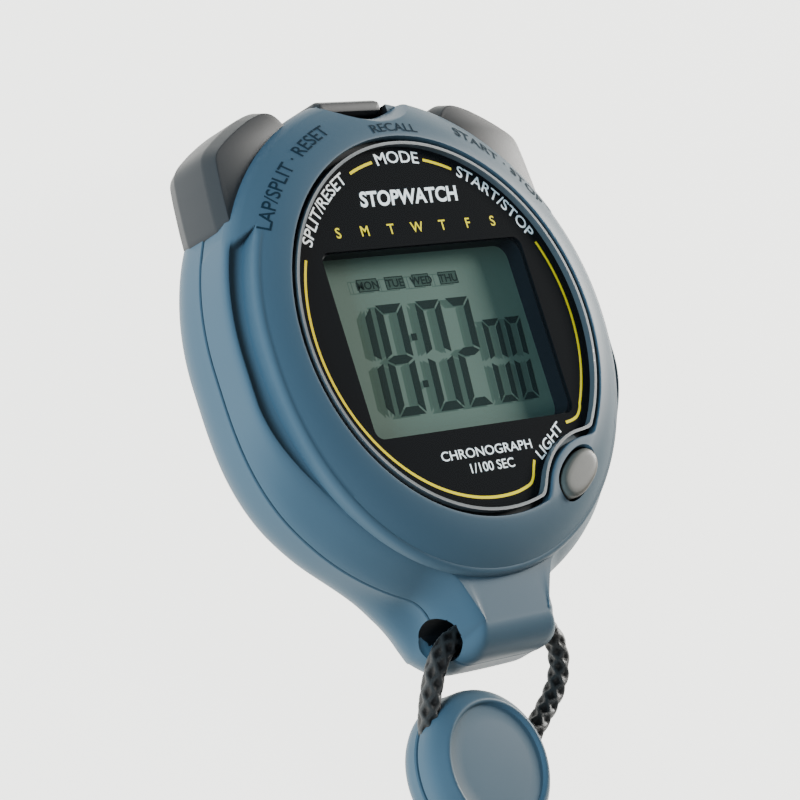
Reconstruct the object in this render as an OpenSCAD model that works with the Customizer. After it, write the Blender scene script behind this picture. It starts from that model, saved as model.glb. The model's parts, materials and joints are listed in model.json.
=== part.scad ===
// Hand-held digital stopwatch with a lanyard, lying on its back.
// Origin on the flat back under the middle of the dial, +Z out of the dial,
// +Y towards the mode button. Millimetres.

/* [Case] */
// Radius of the round case body
body_r = 35.7; // [30:0.1:45]
// Front face of the lens above the table
body_t = 19; // [15:0.5:26]
// Height where the front and rear shells meet
split_z = 9; // [7:0.5:11]
// Radius of the hollow inside the shells
cavity_r = 31; // [27:0.1:32]
// Half width of the lanyard boss
boss_w = 12.3; // [9:0.1:16]
// Distance of the boss end from the dial centre
boss_end = 45.5; // [43:0.5:52]

/* [Dial] */
// Radius of the front lens
lens_r = 27; // [22:0.1:29]
// Gap between the lens and the case
lens_gap = 0.75; // [0.1:0.05:1]
// Width of the display window
window_w = 38.7; // [20:0.1:40]
// Height of the display window
window_h = 26.6; // [14:0.1:28]
// Shift of the window centre away from the mode button
window_drop = 1.35; // [0:0.05:3]

/* [Buttons] */
// Push direction of the side buttons, degrees from the 3 o'clock side
side_angle = 57.5; // [50:0.5:65]
// Travel of the side and mode buttons
side_travel = 1.1; // [0.5:0.1:1.2]
// Travel of the light button
light_travel = 0.8; // [0.4:0.1:1]
// Radius of the button stems
stem_r = 1.25; // [1:0.05:1.6]
// Radial clearance of a stem in its bore
stem_fit = 0.06; // [0.02:0.01:0.1]

/* [Lanyard] */
// Diameter of the braided cord
cord_d = 3.1; // [2:0.1:3.2]
// Diameter of the cross hole through the boss
hole_d = 5.5; // [4:0.1:6]
// Radius of the cord slider
slider_r = 11; // [10:0.5:12]
// Thickness of the cord slider
slider_t = 9; // [8:0.5:10]
// Mean radius of the stored cord turns
coil_r = 17.5; // [16:0.5:18]

/* [Hidden] */
$fn = 96;
e = 0.02;
face_z = body_t;
hole_y = -41;
slider_x = -6.5;
slider_y = -59.3;
coil_x = -3.1;
coil_y = -104;
light_x = 15.4;
light_y = -23.6;
notch_x = 19.3;
notch_y = -29.7;
notch_r = 12;
door_y = -17.5;
post_at = [[27.3, 9.9], [-27.3, 9.9], [21.6, -19.7], [-21.6, -19.7]];

function add_all(v, i = 0) = i >= len(v) ? [] : concat(v[i], add_all(v, i + 1));
function mix(a, b, t) = a + (b - a) * t;
function spline(a, b, c, d, t) =
  0.5 * (2 * b + (c - a) * t + (2 * a - 5 * b + 4 * c - d) * t * t
         + (3 * b - a - 3 * c + d) * t * t * t);
function route(p, n) =
  [for (i = [0:len(p) - 2]) for (k = [0:n - 1])
     spline(p[max(i - 1, 0)], p[i], p[i + 1], p[min(i + 2, len(p) - 1)], k / n),
   p[len(p) - 1]];
function unit(v) = v / norm(v);
function heading(p, i) = unit(p[min(i + 1, len(p) - 1)] - p[max(i - 1, 0)]);
function side_of(t) =
  abs(t[2]) > 0.9 ? unit(cross(t, [1, 0, 0])) : unit(cross(t, [0, 0, 1]));
function ring_at(p, i, r, m) =
  let (t = heading(p, i), a = side_of(t), b = cross(t, a))
  [for (k = [0:m - 1]) p[i] + r * (a * cos(k * 360 / m) + b * sin(k * 360 / m))];

// Cord route from inside the boss hole to the coil, left and right strand.
left_route = [
  [-6, -41, 9], [-8.3, -41.3, 9], [-10.3, -42.5, 8.8], [-11.7, -44.1, 8.35],
  [-12.6, -46.3, 7.5], [-13.2, -49, 6.25], [-13.7, -52, 5.15], [-14, -55.5, 4.6],
  [-14, -60, 4.5], [-14, -65, 4.5], [-13.9, -69.5, 4.3], [-14.3, -74, 3.4],
  [-16, -79, 2.3], [-18.9, -84, 1.65], [-21.9, -89.5, 1.6], [-24.4, -96, 1.6],
  [-25.6, -103, 1.6]];
right_route = [
  [6, -41, 9], [8.3, -41.3, 9], [10.3, -42.5, 8.75], [11.7, -44.1, 8.25],
  [12.45, -46.3, 7.5], [12.3, -48.7, 6.7], [11.2, -51, 5.9], [9, -53.2, 5.2],
  [6, -55.6, 4.75], [3.4, -57.9, 4.55], [1.6, -60.8, 4.5], [1, -64.5, 4.5],
  [1.2, -69, 4.3], [2.9, -74, 3.4], [6, -78.8, 2.5], [9.8, -82.8, 2.2],
  [13.4, -86.5, 2.6], [16.6, -91.3, 3.5], [18.7, -97, 4.4], [19.4, -103, 4.75]];

// Outline of the left push button seen from the front.
side_cap = [
  [-30.9, 18], [-30.75, 21], [-30.4, 25], [-30.05, 27.6], [-29.5, 28.9], [-28.3, 29.9],
  [-26.2, 31.3], [-23.9, 32.6], [-21.6, 33.7], [-19.3, 34.5], [-17.6, 34.7], [-16.4, 34.4],
  [-15.2, 33.5], [-14.4, 32.4], [-13.2, 30.6],
  [-20, 25], [-29, 15]];
side_pocket = [
  [-29.2, 14.7], [-33.8, 22], [-33.8, 40], [-13.2, 40], [-13.2, 33.2], [-11.9, 31.2],
  [-14, 26], [-24, 18]];

module loft(rings) {
  m = len(rings[0]);
  n = len(rings);
  polyhedron(
    points = add_all(rings),
    faces = concat(
      [[for (k = [0:m - 1]) k]],
      [for (i = [0:n - 2]) for (k = [0:m - 1])
         [i * m + k, (i + 1) * m + k, i * m + (k + 1) % m]],
      [for (i = [0:n - 2]) for (k = [0:m - 1])
         [(i + 1) * m + k, (i + 1) * m + (k + 1) % m, i * m + (k + 1) % m]],
      [[for (k = [m - 1:-1:0]) (n - 1) * m + k]]),
    convexity = 6);
}

module tube(p, r, m) {
  loft([for (i = [0:len(p) - 1]) ring_at(p, i, r, m)]);
}

// Four-arc oval, its long axis along X.
module oval(a, b, r2, x0) {
  r1 = (x0 * x0 + b * b - r2 * r2) / (2 * (b - r2));
  tx = x0 + r2 * x0 / (r1 - r2);
  intersection() {
    translate([0, b - r1])
      circle(r1);
    translate([0, r1 - b])
      circle(r1);
    square([2 * tx, 4 * b], center = true);
  }
  translate([x0, 0])
    circle(r2);
  translate([-x0, 0])
    circle(r2);
}

// A button laid along its push axis: local X points out of the case.
module on_axis(angle) {
  rotate([0, 0, angle])
    translate([0, 0, split_z])
      rotate([0, 90, 0])
        children();
}

module wedge(a0, a1) {
  polygon([
    [0, 0], 60 * [cos(a0), sin(a0)],
    60 * [cos(mix(a0, a1, 0.33)), sin(mix(a0, a1, 0.33))],
    60 * [cos(mix(a0, a1, 0.67)), sin(mix(a0, a1, 0.67))],
    60 * [cos(a1), sin(a1)]]);
}

module boss_plan() {
  translate([-boss_w, -41.8])
    square([2 * boss_w, 14]);
  translate([-8.6, -boss_end])
    square([17.2, 16]);
  translate([-8.6, -41.8])
    circle(3.7);
  translate([8.6, -41.8])
    circle(3.7);
}

module boss_front() {
  intersection() {
    translate([0, 0, split_z])
      linear_extrude(6)
        boss_plan();
    translate([0, -28, 0])
      rotate([90, 0, 0])
        linear_extrude(20)
          polygon([
            [-12.4, 8.9], [12.4, 8.9], [12.25, 10.6], [11.8, 12.1], [11, 13.2],
            [9.9, 13.9], [8.6, 14.25], [7, 14.4], [-7, 14.4], [-8.6, 14.25],
            [-9.9, 13.9], [-11, 13.2], [-11.8, 12.1], [-12.25, 10.6]]);
    translate([-15, 0, 0])
      rotate([90, 0, 90])
        linear_extrude(30)
          polygon([
            [-28, 8.9], [-45.6, 8.9], [-45.5, 11.6], [-45.1, 12.9], [-44.4, 13.8],
            [-43.4, 14.25], [-42, 14.4], [-28, 14.4]]);
  }
}

module boss_rear() {
  intersection() {
    linear_extrude(split_z)
      boss_plan();
    translate([0, -28, 0])
      rotate([90, 0, 0])
        linear_extrude(20)
          polygon([
            [-12.4, 9.1], [-12.4, 4.6], [-12.1, 3.1], [-11.4, 1.7], [-10.3, 0.7],
            [-8.9, 0.15], [-7.6, 0], [7.6, 0], [8.9, 0.15], [10.3, 0.7], [11.4, 1.7],
            [12.1, 3.1], [12.4, 4.6], [12.4, 9.1]]);
    translate([-15, 0, 0])
      rotate([90, 0, 90])
        linear_extrude(30)
          polygon([
            [-28, 9.1], [-45.6, 9.1], [-45.6, 4.6], [-45.2, 3.1], [-44.5, 1.7],
            [-43.4, 0.7], [-42, 0.15], [-40.7, 0], [-28, 0]]);
  }
}

module cord_hole() {
  translate([-15, hole_y, split_z])
    rotate([0, 90, 0])
      cylinder(h = 30, d = hole_d);
  for (s = [-1, 1])
    translate([s * 14.6, -44.4, split_z])
      sphere(r = 5.4);
}

module lens_outline(r, nr) {
  difference() {
    circle(r);
    translate([notch_x, notch_y])
      circle(nr);
  }
}

module light_hole(grow) {
  translate([light_x, light_y])
    rotate([0, 0, 33])
      oval(4.95 + grow, 2.7 + grow, 2 + grow, 2.95);
}

module front_shell() {
  // side zones: bezel wall and a shoulder below it
  rotate_extrude()
    polygon([
      [0, 9], [35.7, 9], [35.7, 13.6], [35.5, 14.2], [35, 14.55], [34.4, 14.6],
      [32.5, 14.6], [32.5, 16.5], [32.25, 17.05], [31.7, 17.46], [30.6, 18.06],
      [29.1, 18.64], [27.7, 19], [0, 19]]);
  // through the top the bezel runs out to the full radius
  intersection() {
    rotate_extrude()
      polygon([
        [0, 9], [35.7, 9], [35.7, 13.4], [35.55, 14.3], [35.1, 14.95], [34.4, 15.6],
        [33.4, 16.35], [32.5, 16.95], [31.7, 17.46], [30.6, 18.06], [29.1, 18.64],
        [27.7, 19], [0, 19]]);
    translate([0, 0, 8.9])
      linear_extrude(12)
        wedge(25, 155);
  }
  // fuller lower half and the bezel lip over the boss
  translate([0, -3.2, 0])
    rotate_extrude()
      polygon([
        [0, 9], [35.3, 9], [35.3, 12.9], [35, 13.8], [34.4, 14.35], [33.6, 14.55],
        [0, 14.55]]);
  translate([0, -2.5, 0])
    rotate_extrude()
      polygon([
        [0, 14], [32.5, 14], [32.5, 15.5], [32.2, 15.95], [31.2, 16.4], [30, 16.85],
        [28.4, 17.3], [0, 17.3]]);
  boss_front();
}

module shoulder_scoop() {
  for (a = [[155, 240], [-60, 25]])
    intersection() {
      rotate_extrude()
        polygon([
          [32.5, 14.3], [33.1, 14], [33.9, 13.9], [34.7, 14.1], [35.2, 14.6],
          [35.2, 16], [32.5, 16]]);
      translate([0, 0, 13])
        linear_extrude(4)
          wedge(a[0], a[1]);
    }
}

// Recesses around the moving buttons, shared by both shells.
module button_room() {
  for (s = [0, 1])
    mirror([s, 0, 0]) {
      difference() {
        translate([0, 0, 3.4])
          linear_extrude(11.1)
            polygon(side_pocket);
        translate([0, 0, 3])
          cylinder(h = 12, r = 33.5);
      }
      on_axis(180 - side_angle)
        translate([0, 0, 28])
          cylinder(h = 8, r = stem_r + stem_fit);
      on_axis(180 - side_angle)
        translate([0, 0, 32.2])
          cylinder(h = 2, r = 1.95);
    }
  translate([-6.6, 32.9, 4.7])
    cube([13.2, 6, 8.1]);
  on_axis(90)
    translate([0, 0, 28])
      cylinder(h = 8, r = stem_r + stem_fit);
  on_axis(90)
    translate([0, 0, 32])
      cylinder(h = 2, r = 1.95);
}

module front_case() {
  color([0.36, 0.43, 0.52])
    difference() {
      front_shell();
      shoulder_scoop();
      // opening for the lens, its ledge and the window well
      translate([0, 0, 17.45])
        linear_extrude(4)
          lens_outline(lens_r + lens_gap, notch_r - lens_gap);
      translate([0, 0, 14])
        linear_extrude(6)
          lens_outline(25.2, notch_r + 1.4);
      // hollow for the works
      translate([0, 0, 8.9])
        cylinder(h = 5.6, r = cavity_r);
      translate([0, 0, 14.4])
        cylinder(h = 1.9, r1 = cavity_r, r2 = 28);
      // finger dip over the mode button
      translate([0, 51.2, 12.8])
        cylinder(h = 8, r1 = 18.9, r2 = 22.1);
      // light button bore
      translate([0, 0, 10])
        linear_extrude(12)
          light_hole(0.08);
      // room for the light button's flange
      translate([0, 0, 12])
        linear_extrude(4.3)
          light_hole(1);
      button_room();
      cord_hole();
      // pilot holes of the case screws
      for (p = post_at)
        translate([p[0], p[1], 8.9])
          cylinder(h = 5.1, r = 0.95);
    }
  color([0.36, 0.43, 0.52])
    for (p = post_at)
      difference() {
        translate([p[0], p[1], 9])
          cylinder(h = 6.6, r = 2.6);
        translate([p[0], p[1], 8.9])
          cylinder(h = 5.1, r = 0.95);
        translate([0, 0, 12])
          linear_extrude(4.3)
            light_hole(1);
      }
}

module rear_case() {
  color([0.33, 0.4, 0.49])
    difference() {
      union() {
        rotate_extrude()
          polygon([
            [0, 0], [31.2, 0], [32.6, 0.25], [33.9, 0.95], [34.9, 2], [35.5, 3.3],
            [35.7, 4.6], [35.7, 9], [0, 9]]);
        translate([0, -3.2, 0])
          rotate_extrude()
            polygon([
              [0, 0], [30.8, 0], [32.2, 0.25], [33.5, 0.95], [34.5, 2], [35.1, 3.3],
              [35.3, 4.6], [35.3, 9], [0, 9]]);
        boss_rear();
      }
      difference() {
        translate([0, 0, 2])
          cylinder(h = 8, r = cavity_r);
        for (p = post_at)
          translate([p[0], p[1], 1.9])
            cylinder(h = 7.1, r = 2.6);
        // battery well wall
        difference() {
          translate([0, door_y, 1.9])
            cylinder(h = 2.9, r = 13.6);
          translate([0, door_y, 1.8])
            cylinder(h = 4, r = 11.4);
        }
      }
      // battery opening, seal groove and door seat
      translate([0, door_y, -1])
        cylinder(h = 4, r = 10.4);
      translate([0, door_y, -1])
        cylinder(h = 2.2, r = 14.5);
      for (s = [-1, 1])
        translate([s * 12.3, door_y, 0])
          cylinder(h = 4, r = 0.65);
      // case screws
      for (p = post_at) {
        translate([p[0], p[1], -1])
          cylinder(h = 12, r = 1.1);
        translate([p[0], p[1], -1])
          cylinder(h = 3, r = 2);
      }
      // groove of the gasket
      difference() {
        translate([0, 0, 8.2])
          cylinder(h = 1, r = 32.6);
        translate([0, 0, 8])
          cylinder(h = 2, r = 31.8);
      }
      button_room();
      cord_hole();
    }
}

module case_gasket() {
  color([0.05, 0.05, 0.05])
    difference() {
      rotate_extrude()
        polygon([[31.82, 8.22], [32.58, 8.22], [32.58, 9], [31.82, 9]]);
      for (a = [side_angle, 90, 180 - side_angle])
        on_axis(a)
          translate([0, 0, 30])
            cylinder(h = 5, r = 2);
    }
}

module lens() {
  color([0.08, 0.09, 0.1, 0.5])
    translate([0, 0, 17.8])
      linear_extrude(1.2)
        lens_outline(lens_r, notch_r);
}

module dial_mask() {
  color([0.02, 0.02, 0.02])
    difference() {
      translate([0, 0, 17.45])
        linear_extrude(0.35)
          lens_outline(lens_r - 0.3, notch_r + 0.3);
      translate([0, -window_drop, 17.4])
        linear_extrude(1)
          square([window_w, window_h], center = true);
    }
}

module lcd_frame() {
  color([0.03, 0.03, 0.035])
    difference() {
      translate([-21.2, -16.2, 13])
        cube([42.4, 29.8, 4.4]);
      translate([-19.6, -14.95, 14.9])
        cube([39.2, 27.2, 3]);
      translate([-20.2, -15.4, 12.9])
        cube([40.4, 28.2, 2.25]);
      for (p = post_at)
        translate([p[0], p[1], 12])
          cylinder(h = 6, r = 2.8);
      // corners follow the round ledge
      difference() {
        translate([0, 0, 12.5])
          cylinder(h = 6, r = 40);
        translate([0, 0, 12])
          cylinder(h = 7, r = 25.1);
      }
    }
}

module lcd_glass() {
  color([0.5, 0.56, 0.5])
    difference() {
      translate([-20, -15.2, 12.95])
        cube([40, 27.8, 2.1]);
      difference() {
        translate([0, 0, 12.5])
          cylinder(h = 3, r = 40);
        translate([0, 0, 12])
          cylinder(h = 4, r = 24.7);
      }
    }
}

module light_guide() {
  color([0.85, 0.87, 0.8])
    translate([-18.5, -11, 12.1])
      cube([37, 20, 0.8]);
}

module lamp() {
  color([0.95, 0.9, 0.6])
    translate([-21, -2.5, 9.61])
      cube([2.2, 3.4, 3.25]);
}

module zebra_strips() {
  color([0.75, 0.35, 0.45])
    for (y = [-13.6, 9.6])
      translate([-17, y, 9.62])
        cube([34, 2, 3.31]);
}

module circuit_board() {
  color([0.1, 0.32, 0.18])
    difference() {
      translate([0, 0, 8.5])
        cylinder(h = 1.1, r = 28);
      for (p = post_at)
        translate([p[0], p[1], 8])
          cylinder(h = 2, r = 3);
    }
}

module processor_chip() {
  color([0.05, 0.05, 0.05])
    rotate_extrude()
      polygon([[0, 9.6], [5, 9.6], [4.6, 10.3], [3.4, 10.9], [1.6, 11.2], [0, 11.25]]);
}

module quartz_crystal() {
  color([0.75, 0.76, 0.78])
    translate([-15, 3, 10.62])
      rotate([0, 90, 0])
        cylinder(h = 6.2, r = 1);
}

module chip_resistors() {
  color([0.2, 0.16, 0.12])
    for (p = [[9, 4], [9, -1], [12, -6], [-10, -6], [-6, -8]])
      translate([p[0], p[1], 9.61])
        cube([2, 1.25, 0.5]);
}

module buzzer() {
  color([0.8, 0.65, 0.3])
    translate([0, 13, 2.02])
      cylinder(h = 0.25, r = 12);
  color([0.9, 0.9, 0.86])
    translate([0, 13, 2.25])
      cylinder(h = 0.25, r = 9);
}

module contact_leaves() {
  color([0.8, 0.68, 0.35])
    for (a = [side_angle, 90, 180 - side_angle])
      rotate([0, 0, a])
        translate([28.05, -1.5, 7])
          cube([0.2, 3, 5]);
  color([0.8, 0.68, 0.35])
    for (a = [side_angle, 90, 180 - side_angle])
      rotate([0, 0, a])
        translate([24.6, -1.5, 9.62])
          cube([3.5, 3, 0.25]);
  color([0.8, 0.68, 0.35])
    translate([light_x, light_y, 9.61])
      cylinder(h = 1.2, r = 1.8);
}

module coin_battery() {
  color([0.78, 0.79, 0.8])
    translate([0, door_y, 1.25])
      cylinder(h = 0.9, r = 9.9);
  color([0.78, 0.79, 0.8])
    translate([0, door_y, 2.1])
      cylinder(h = 2.35, r = 10);
}

module battery_contact() {
  color([0.8, 0.7, 0.4])
    translate([0, door_y, 4.5])
      cylinder(h = 0.3, r = 4);
  color([0.8, 0.7, 0.4])
    translate([-1.5, door_y - 1.5, 4.7])
      cube([3, 3, 3.78]);
}

module battery_door() {
  color([0.3, 0.36, 0.45])
    difference() {
      translate([0, door_y, 0.1])
        cylinder(h = 1.1, r = 14.4);
      for (s = [-1, 1])
        translate([s * 12.3, door_y, -1]) {
          cylinder(h = 4, r = 0.75);
          cylinder(h = 1.6, r = 1.5);
        }
    }
}

module door_seal() {
  color([0.06, 0.06, 0.06])
    translate([0, door_y, 0])
      rotate_extrude()
        polygon([[10.05, 1.22], [10.38, 1.22], [10.38, 1.98], [10.05, 1.98]]);
}

module door_screws() {
  color([0.7, 0.71, 0.73])
    for (s = [-1, 1])
      translate([s * 12.3, door_y, 0])
        difference() {
          union() {
            translate([0, 0, 0.15])
              cylinder(h = 0.45, r = 1.4);
            translate([0, 0, 0.5])
              cylinder(h = 3.2, r = 0.6);
          }
          for (t = [0, 90])
            rotate([0, 0, t])
              translate([-0.9, -0.15, 0])
                cube([1.8, 0.3, 0.35]);
        }
}

module case_screws() {
  color([0.7, 0.71, 0.73])
    for (p = post_at)
      translate([p[0], p[1], 0])
        difference() {
          union() {
            translate([0, 0, 0.9])
              cylinder(h = 1.1, r = 1.85);
            translate([0, 0, 1.8])
              cylinder(h = 11.5, r = 0.9);
          }
          for (t = [0, 90])
            rotate([0, 0, t])
              translate([-1.3, -0.2, 0.8])
                cube([2.6, 0.4, 0.7]);
        }
}

module cap_stem() {
  difference() {
    translate([0, 0, 29.5])
      cylinder(h = 9.5, r = stem_r);
    difference() {
      translate([0, 0, 30.05])
        cylinder(h = 0.65, r = 2);
      translate([0, 0, 30])
        cylinder(h = 1, r = 0.85);
    }
  }
}

module left_cap() {
  mid = [-22, 27.5];
  difference() {
    loft([for (l = [[3.7, 0.93], [4.1, 0.965], [4.8, 0.985], [6.2, 0.996], [9, 1],
                    [11.8, 0.996], [13.2, 0.985], [13.9, 0.965], [14.3, 0.93]])
            [for (k = [len(side_cap) - 1:-1:0])
               [mix(mid[0], side_cap[k][0], l[1]), mix(mid[1], side_cap[k][1], l[1]), l[0]]]]);
    translate([0, 0, 3])
      cylinder(h = 12, r = 34.9);
    on_axis(180 - side_angle)
      translate([0, 0, 33])
        cylinder(h = 4.2, r = 2.75);
  }
  on_axis(180 - side_angle)
    cap_stem();
}

module split_reset_button() {
  color([0.5, 0.49, 0.47])
    left_cap();
}

module start_stop_button() {
  color([0.5, 0.49, 0.47])
    mirror([1, 0, 0])
      left_cap();
}

module mode_button() {
  color([0.5, 0.49, 0.47]) {
    difference() {
      translate([-6.3, 34.2, 5])
        cube([12.6, 1.9, 7.5]);
      on_axis(90)
        translate([0, 0, 33])
          cylinder(h = 2.2, r = 2.75);
      for (s = [0, 1])
        mirror([s, 0, 0])
          translate([6.3, 36.1, 4])
            rotate([0, 0, 45])
              cube([1, 1, 20], center = true);
      for (z = [5, 12.5])
        translate([-8, 36.1, z])
          rotate([45, 0, 0])
            cube([16, 0.7, 0.7]);
    }
    on_axis(90)
      difference() {
        translate([0, 0, 29.5])
          cylinder(h = 6.2, r = stem_r);
        difference() {
          translate([0, 0, 30.05])
            cylinder(h = 0.65, r = 2);
          translate([0, 0, 30])
            cylinder(h = 1, r = 0.85);
        }
      }
  }
}

module light_button() {
  color([0.58, 0.57, 0.54]) {
    translate([0, 0, 15.2])
      linear_extrude(4)
        light_hole(-0.3);
    translate([0, 0, 15.2])
      linear_extrude(0.9)
        light_hole(0.6);
    translate([0, 0, 19.1])
      linear_extrude(0.35)
        light_hole(-0.75);
    translate([light_x, light_y, 11.8])
      cylinder(h = 5, r = 1.1);
  }
}

module clip() {
  difference() {
    translate([0, 0, 30.08])
      cylinder(h = 0.58, r = 2.1);
    translate([0, 0, 30])
      cylinder(h = 1, r = 0.87);
  }
}

module start_stop_clip() {
  color([0.7, 0.71, 0.73])
    on_axis(side_angle)
      clip();
}

module split_reset_clip() {
  color([0.7, 0.71, 0.73])
    on_axis(180 - side_angle)
      clip();
}

module mode_clip() {
  color([0.7, 0.71, 0.73])
    on_axis(90)
      clip();
}

module light_clip() {
  color([0.7, 0.71, 0.73])
    difference() {
      translate([light_x, light_y, 14.5])
        cylinder(h = 0.68, r = 2.1);
      translate([light_x, light_y, 14])
        cylinder(h = 3, r = 1.12);
    }
}

module stem_seals() {
  color([0.06, 0.06, 0.06])
    for (a = [side_angle, 90, 180 - side_angle])
      on_axis(a)
        difference() {
          translate([0, 0, 32.22])
            cylinder(h = 0.62, r = 1.93);
          translate([0, 0, 32])
            cylinder(h = 3, r = stem_r + 0.03);
        }
}

module coil_spring(z0, z1, turns) {
  tube([for (k = [0:turns * 12])
          [2 * cos(k * 30), 2 * sin(k * 30), mix(z0, z1, k / (turns * 12))]], 0.22, 6);
}

module start_stop_spring() {
  color([0.75, 0.76, 0.78])
    on_axis(side_angle)
      coil_spring(33.9, 36.9, 4);
}

module split_reset_spring() {
  color([0.75, 0.76, 0.78])
    on_axis(180 - side_angle)
      coil_spring(33.9, 36.9, 4);
}

module mode_spring() {
  color([0.75, 0.76, 0.78])
    on_axis(90)
      coil_spring(33.2, 34.9, 3);
}

module light_spring() {
  color([0.75, 0.76, 0.78])
    translate([light_x, light_y, 0])
      coil_spring(11.1, 14.2, 4);
}

module lanyard_left() {
  color([0.07, 0.07, 0.08])
    tube(route(left_route, 3), cord_d / 2, 8);
}

module lanyard_right() {
  color([0.07, 0.07, 0.08])
    tube(concat([[-6, -41, 9]], route(right_route, 3)), cord_d / 2, 8);
}

module lanyard_coil() {
  color([0.07, 0.07, 0.08])
    translate([coil_x, coil_y, 0])
      rotate_extrude()
        polygon([
          [coil_r - 6, 1], [coil_r - 5, 0.3], [coil_r + 5, 0.3], [coil_r + 6, 1],
          [coil_r + 6.5, 2.2], [coil_r + 6.5, 4.2], [coil_r + 6, 5.5],
          [coil_r + 5, 6.2], [coil_r - 5, 6.2], [coil_r - 6, 5.5],
          [coil_r - 6.5, 4.2], [coil_r - 6.5, 2.2]]);
}

module coil_tie() {
  color([0.05, 0.05, 0.05])
    translate([coil_x, coil_y - coil_r, 0])
      rotate([90, 0, 90])
        translate([0, 0, -3])
          linear_extrude(6)
            difference() {
              polygon([
                [-6.4, 0.2], [-5.4, 0], [5.4, 0], [6.4, 0.2], [7.2, 1.6], [7.2, 4.6],
                [6.6, 6.2], [5.4, 6.9], [-5.4, 6.9], [-6.6, 6.2], [-7.2, 4.6],
                [-7.2, 1.6]]);
              polygon([
                [-6, 0.98], [-5, 0.28], [5, 0.28], [6, 0.98], [6.52, 2.2], [6.52, 4.2],
                [6.02, 5.52], [5, 6.22], [-5, 6.22], [-6.02, 5.52], [-6.52, 4.2],
                [-6.52, 2.2]]);
            }
}

module slider_half() {
  rotate_extrude()
    polygon([
      [0, 0], [11, 0], [11, 1.4], [10.75, 2.5], [10.1, 3.5], [9.3, 4.2], [8.9, 4.5],
      [8.3, 4.5], [8, 4.1], [0, 4.1]]);
}

module slider_room() {
  tube(route(left_route, 3), cord_d / 2 + 0.2, 10);
  tube(route(right_route, 3), cord_d / 2 + 0.2, 10);
}

module slider_front() {
  color([0.36, 0.43, 0.52])
    difference() {
      translate([slider_x, slider_y, slider_t / 2])
        slider_half();
      slider_room();
    }
}

module slider_back() {
  color([0.36, 0.43, 0.52])
    difference() {
      translate([slider_x, slider_y, slider_t / 2])
        rotate([180, 0, 0])
          slider_half();
      slider_room();
    }
}

front_case();
rear_case();
case_gasket();
lens();
dial_mask();
lcd_frame();
lcd_glass();
light_guide();
lamp();
zebra_strips();
circuit_board();
processor_chip();
quartz_crystal();
chip_resistors();
buzzer();
contact_leaves();
coin_battery();
battery_contact();
battery_door();
door_seal();
door_screws();
case_screws();
start_stop_button();
split_reset_button();
mode_button();
light_button();
start_stop_clip();
split_reset_clip();
mode_clip();
light_clip();
stem_seals();
start_stop_spring();
split_reset_spring();
mode_spring();
light_spring();
lanyard_left();
lanyard_right();
lanyard_coil();
coil_tie();
slider_front();
slider_back();
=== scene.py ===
import bpy
import json
import math
import numpy as np
from mathutils import Matrix, Vector

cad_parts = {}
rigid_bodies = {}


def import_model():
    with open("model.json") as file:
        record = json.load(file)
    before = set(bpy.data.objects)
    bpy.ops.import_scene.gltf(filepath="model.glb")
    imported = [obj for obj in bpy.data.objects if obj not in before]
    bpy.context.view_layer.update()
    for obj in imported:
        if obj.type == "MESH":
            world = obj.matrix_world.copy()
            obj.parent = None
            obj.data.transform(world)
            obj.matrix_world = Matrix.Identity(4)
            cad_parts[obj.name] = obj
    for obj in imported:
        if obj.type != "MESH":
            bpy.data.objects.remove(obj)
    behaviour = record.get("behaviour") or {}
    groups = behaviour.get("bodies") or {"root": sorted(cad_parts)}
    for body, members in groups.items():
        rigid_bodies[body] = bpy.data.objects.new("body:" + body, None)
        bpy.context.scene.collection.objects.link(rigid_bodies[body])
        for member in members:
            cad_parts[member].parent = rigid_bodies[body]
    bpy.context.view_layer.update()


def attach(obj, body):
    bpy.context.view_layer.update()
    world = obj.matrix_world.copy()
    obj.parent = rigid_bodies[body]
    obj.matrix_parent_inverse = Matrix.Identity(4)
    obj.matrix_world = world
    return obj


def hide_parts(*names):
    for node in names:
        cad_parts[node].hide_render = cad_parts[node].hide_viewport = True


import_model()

# Sizes and places are in millimetres; MM turns them into metres.
MM = 0.001
BODY = "watch"
FACE = 19.0              # height of the bezel round the lens
AXIS_Z = 9.0             # height of the parting line, the stems and the lanyard bore
SEAM = 0.13              # each shell stops this far from the parting line
HOLLOW_R = 31.0          # inside radius of the shells
DOOR_Y = -17.5           # centre of the battery door
BORE_Y = -41.0           # the lanyard bore runs along X here
STEM_BORE_R = 1.31

# ---------------------------------------------------------------- camera
cam_data = bpy.data.cameras.new("camera")
cam_data.lens = 138.7
cam_data.sensor_width = 36.0
cam_data.clip_start = 0.01
cam = bpy.data.objects.new("camera", cam_data)
bpy.context.scene.collection.objects.link(cam)
right = Vector((0.7158, -0.2913, 0.6346)).normalized()
up = Vector((0.0966, 0.9414, 0.3232))
back = right.cross(up).normalized()
up = back.cross(right).normalized()
place = Matrix((right, up, back)).transposed().to_4x4()
place.translation = Vector((-0.2995, -0.080, 0.3087))
cam.matrix_world = place
bpy.context.scene.camera = cam


# ---------------------------------------------------------------- helpers
def smoothstep(a, b, x):
    t = np.clip((np.asarray(x, float) - a) / (b - a), 0, 1)
    return t * t * (3 - 2 * t)


def mix(a, b, t):
    return a + (b - a) * t


def smooth_min(a, b, k):
    h = np.clip(0.5 + 0.5 * (b - a) / k, 0, 1)
    return mix(b, a, h) - k * h * (1 - h)


def new_object(name, mesh):
    obj = bpy.data.objects.new(name, mesh)
    bpy.context.scene.collection.objects.link(obj)
    return obj


def mesh_piece(name, verts, faces, mat=None, sharp=32):
    """A mesh object from points in millimetres."""
    mesh = bpy.data.meshes.new(name)
    mesh.from_pydata([tuple(float(c) * MM for c in v) for v in verts], [],
                     [tuple(int(i) for i in f) for f in faces])
    mesh.validate()
    mesh.update()
    finish_mesh(mesh, sharp)
    if mat:
        mesh.materials.append(mat)
    return new_object(name, mesh)


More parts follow.
